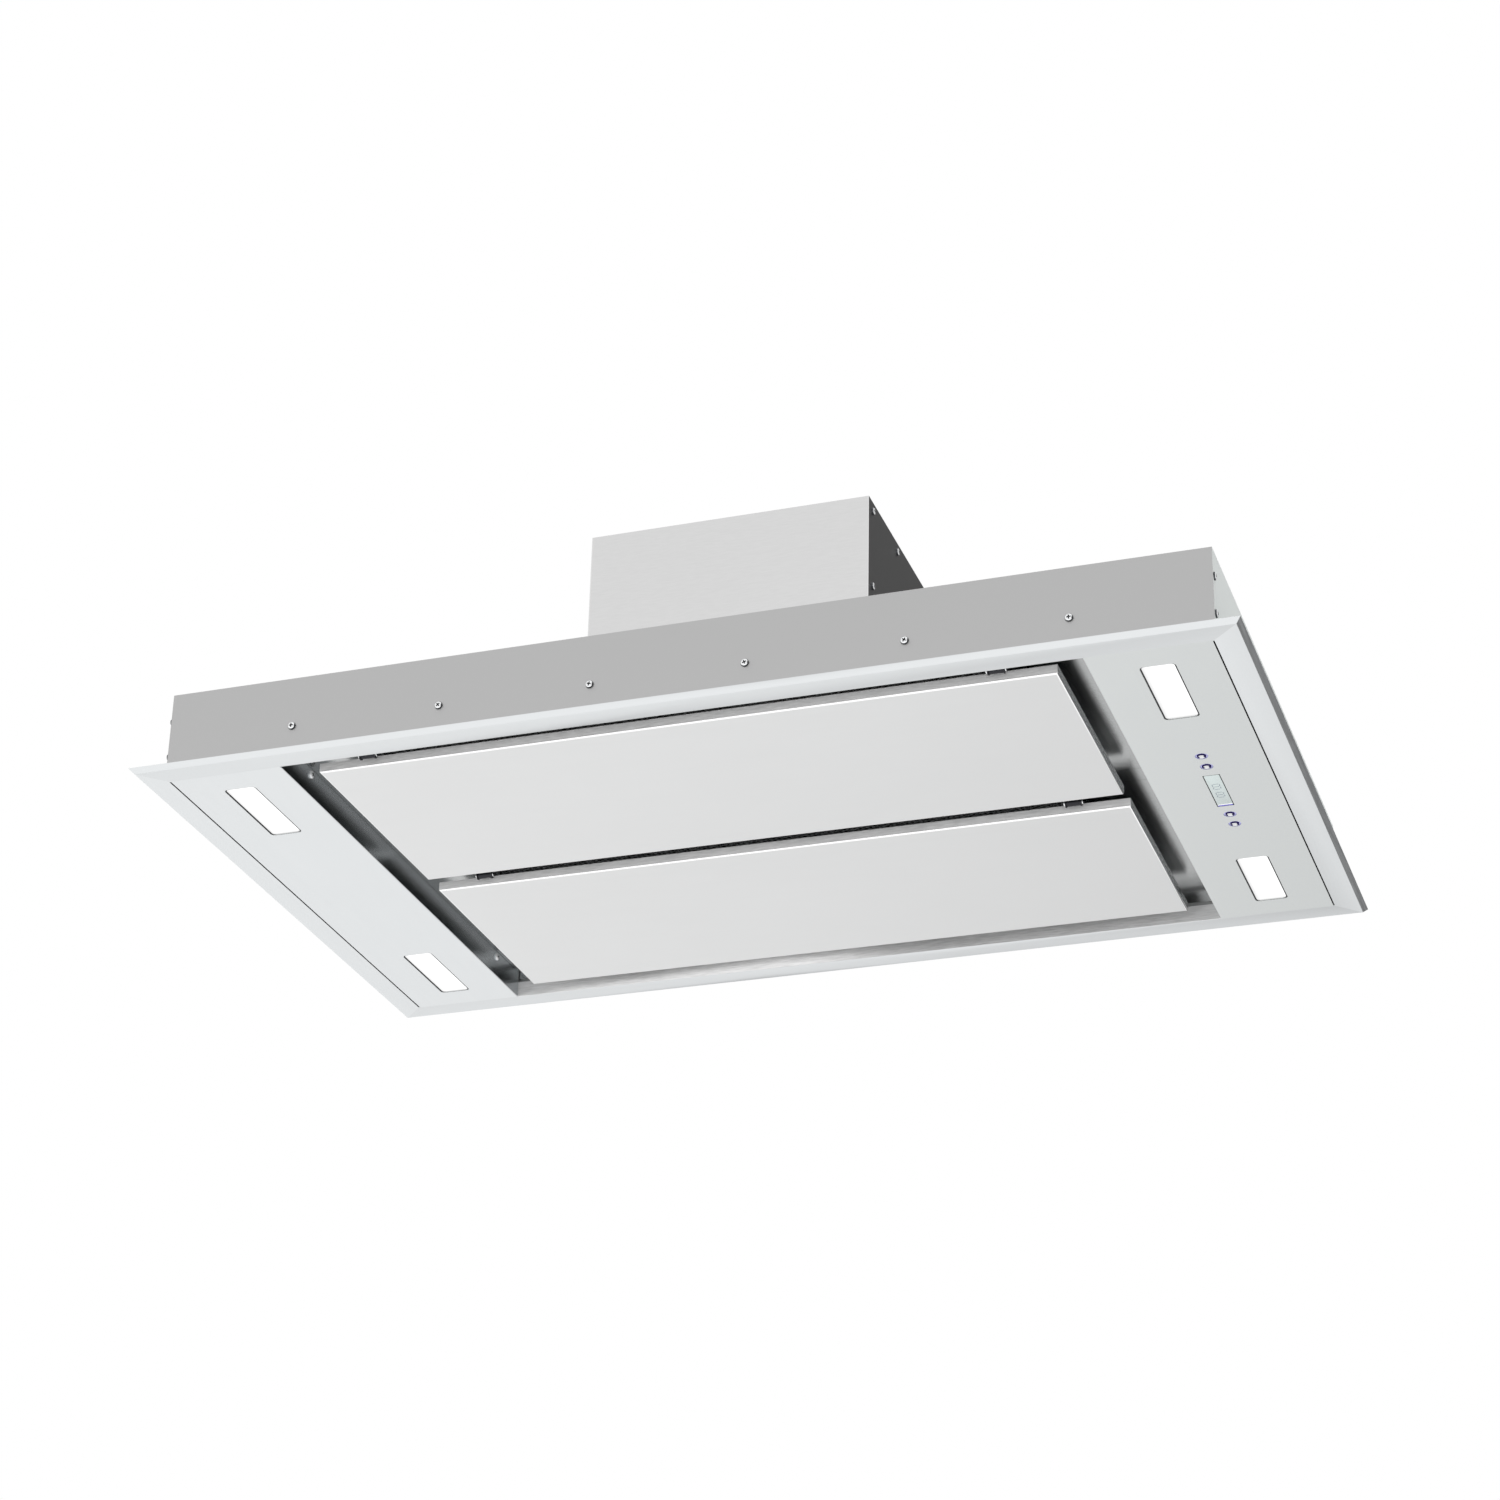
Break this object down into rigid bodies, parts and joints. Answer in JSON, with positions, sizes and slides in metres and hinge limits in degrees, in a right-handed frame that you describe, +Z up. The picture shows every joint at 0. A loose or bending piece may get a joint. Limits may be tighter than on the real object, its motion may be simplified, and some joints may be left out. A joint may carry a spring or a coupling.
{
  "type": "ceiling range hood",
  "caption": "Flat oblong ceiling hood: a bevelled frame round hinged suction panels with air slots, end lamps, push buttons, and a square fan housing with a round outlet on top.",
  "frame": {"origin": "centre of the four hanging holes, on the casing's top face", "axes": "+X along the hood towards the controls, +Y towards its back where the outlet is, +Z up"},
  "size_m": [1, 0.61, 0.2747],
  "materials": {
    "brushed_stainless": "long fine brushing",
    "galvanised_sheet": "satin",
    "screw_steel": "satin",
    "magnet_ferrite": "matt",
    "filter_aluminium": "satin",
    "black_plastic": "fine texture",
    "lamp_lens": "lit opal",
    "board_white": "matt",
    "board_green": "satin",
    "display_glass": "gloss",
    "ring_light": "lit clear",
    "button_steel": "polished",
    "wheel_plastic": "satin",
    "shaft_steel": "ground",
    "motor_enamel": "enamel"
  },
  "bodies": {
    "hood": {"bottom_frame": "brushed_stainless", "left_end_panel": "brushed_stainless", "right_control_panel": "brushed_stainless", "bulkheads": "galvanised_sheet", "casing": "brushed_stainless", "end_frames": "brushed_stainless", "end_walls": "brushed_stainless", "hanger_plates": "galvanised_sheet", "casing_screws": "screw_steel", "well_screws": "screw_steel", "front_rail": "galvanised_sheet", "back_rail": "galvanised_sheet", "centre_rail": "galvanised_sheet", "hinge_brackets": "screw_steel", "hinge_pins": "screw_steel", "catch_brackets": "screw_steel", "catch_magnets": "magnet_ferrite", "front_filter_frame": "filter_aluminium", "front_filter_mesh": "filter_aluminium", "back_filter_frame": "filter_aluminium", "back_filter_mesh": "filter_aluminium", "left_front_lens": "lamp_lens", "left_back_lens": "lamp_lens", "right_front_lens": "lamp_lens", "right_back_lens": "lamp_lens", "lamp_housings": "galvanised_sheet", "lamp_boards": "board_white", "lamp_driver": "black_plastic", "control_housing": "black_plastic", "control_board": "board_green", "display_window": "display_glass", "button_rings": "ring_light", "motor_shell": "brushed_stainless", "motor_left_side": "brushed_stainless", "motor_right_side": "brushed_stainless", "housing_screws": "screw_steel", "scroll_housing": "galvanised_sheet", "scroll_cover": "galvanised_sheet", "inlet_ring": "galvanised_sheet", "motor": "motor_enamel", "outlet_collar": "black_plastic", "flap_spindle": "shaft_steel", "terminal_box": "black_plastic"},
    "front_panel": {"front_suction_panel": "brushed_stainless", "front_panel_backing": "galvanised_sheet", "front_hinge_leaves": "galvanised_sheet"},
    "back_panel": {"back_suction_panel": "brushed_stainless", "back_panel_backing": "galvanised_sheet", "back_hinge_leaves": "galvanised_sheet"},
    "front_latch": {"front_filter_latch": "black_plastic"},
    "back_latch": {"back_filter_latch": "black_plastic"},
    "fan": {"fan_wheel": "wheel_plastic", "fan_blades": "wheel_plastic", "fan_shaft": "shaft_steel"},
    "left_damper": {"left_flap": "wheel_plastic"},
    "right_damper": {"right_flap": "wheel_plastic"},
    "power_push": {"power_button": "button_steel"},
    "slower_push": {"slower_button": "button_steel"},
    "faster_push": {"faster_button": "button_steel"},
    "light_push": {"light_button": "button_steel"}
  },
  "joints": [
    {"name": "front_panel_hinge", "type": "hinge", "parent": "hood", "child": "front_panel", "pos_m": [0, -0.2625, -0.0768], "axis": [-1, 0, 0], "range_deg": [0, 90]},
    {"name": "back_panel_hinge", "type": "hinge", "parent": "hood", "child": "back_panel", "pos_m": [0, 0.005, -0.0768], "axis": [-1, 0, 0], "range_deg": [0, 90]},
    {"name": "front_latch_slide", "type": "slide", "parent": "hood", "child": "front_latch", "axis": [0, -1, 0], "range_m": [0, 0.005], "stiffness_N_per_m": 300, "springref_m": -0.003},
    {"name": "back_latch_slide", "type": "slide", "parent": "hood", "child": "back_latch", "axis": [0, 1, 0], "range_m": [0, 0.005], "stiffness_N_per_m": 300, "springref_m": -0.003},
    {"name": "fan_spin", "type": "hinge", "parent": "hood", "child": "fan", "pos_m": [-0.014, -0.01275, 0.05], "axis": [0, 0, 1], "continuous": true},
    {"name": "left_flap_hinge", "type": "hinge", "parent": "hood", "child": "left_damper", "pos_m": [0.045, 0.146, 0.08], "axis": [0, 0, -1], "range_deg": [0, 75], "stiffness_Nm_per_rad": 0.02, "springref_deg": -17.19},
    {"name": "right_flap_hinge", "type": "hinge", "parent": "hood", "child": "right_damper", "pos_m": [0.045, 0.146, 0.08], "axis": [0, 0, 1], "range_deg": [0, 75], "stiffness_Nm_per_rad": 0.02, "springref_deg": -17.19},
    {"name": "power_button_press", "type": "slide", "parent": "hood", "child": "power_push", "axis": [0, 0, 1], "range_m": [0, 0.001], "stiffness_N_per_m": 300, "springref_m": -0.001},
    {"name": "slower_button_press", "type": "slide", "parent": "hood", "child": "slower_push", "axis": [0, 0, 1], "range_m": [0, 0.001], "stiffness_N_per_m": 300, "springref_m": -0.001},
    {"name": "faster_button_press", "type": "slide", "parent": "hood", "child": "faster_push", "axis": [0, 0, 1], "range_m": [0, 0.001], "stiffness_N_per_m": 300, "springref_m": -0.001},
    {"name": "light_button_press", "type": "slide", "parent": "hood", "child": "light_push", "axis": [0, 0, 1], "range_m": [0, 0.001], "stiffness_N_per_m": 300, "springref_m": -0.001}
  ]
}
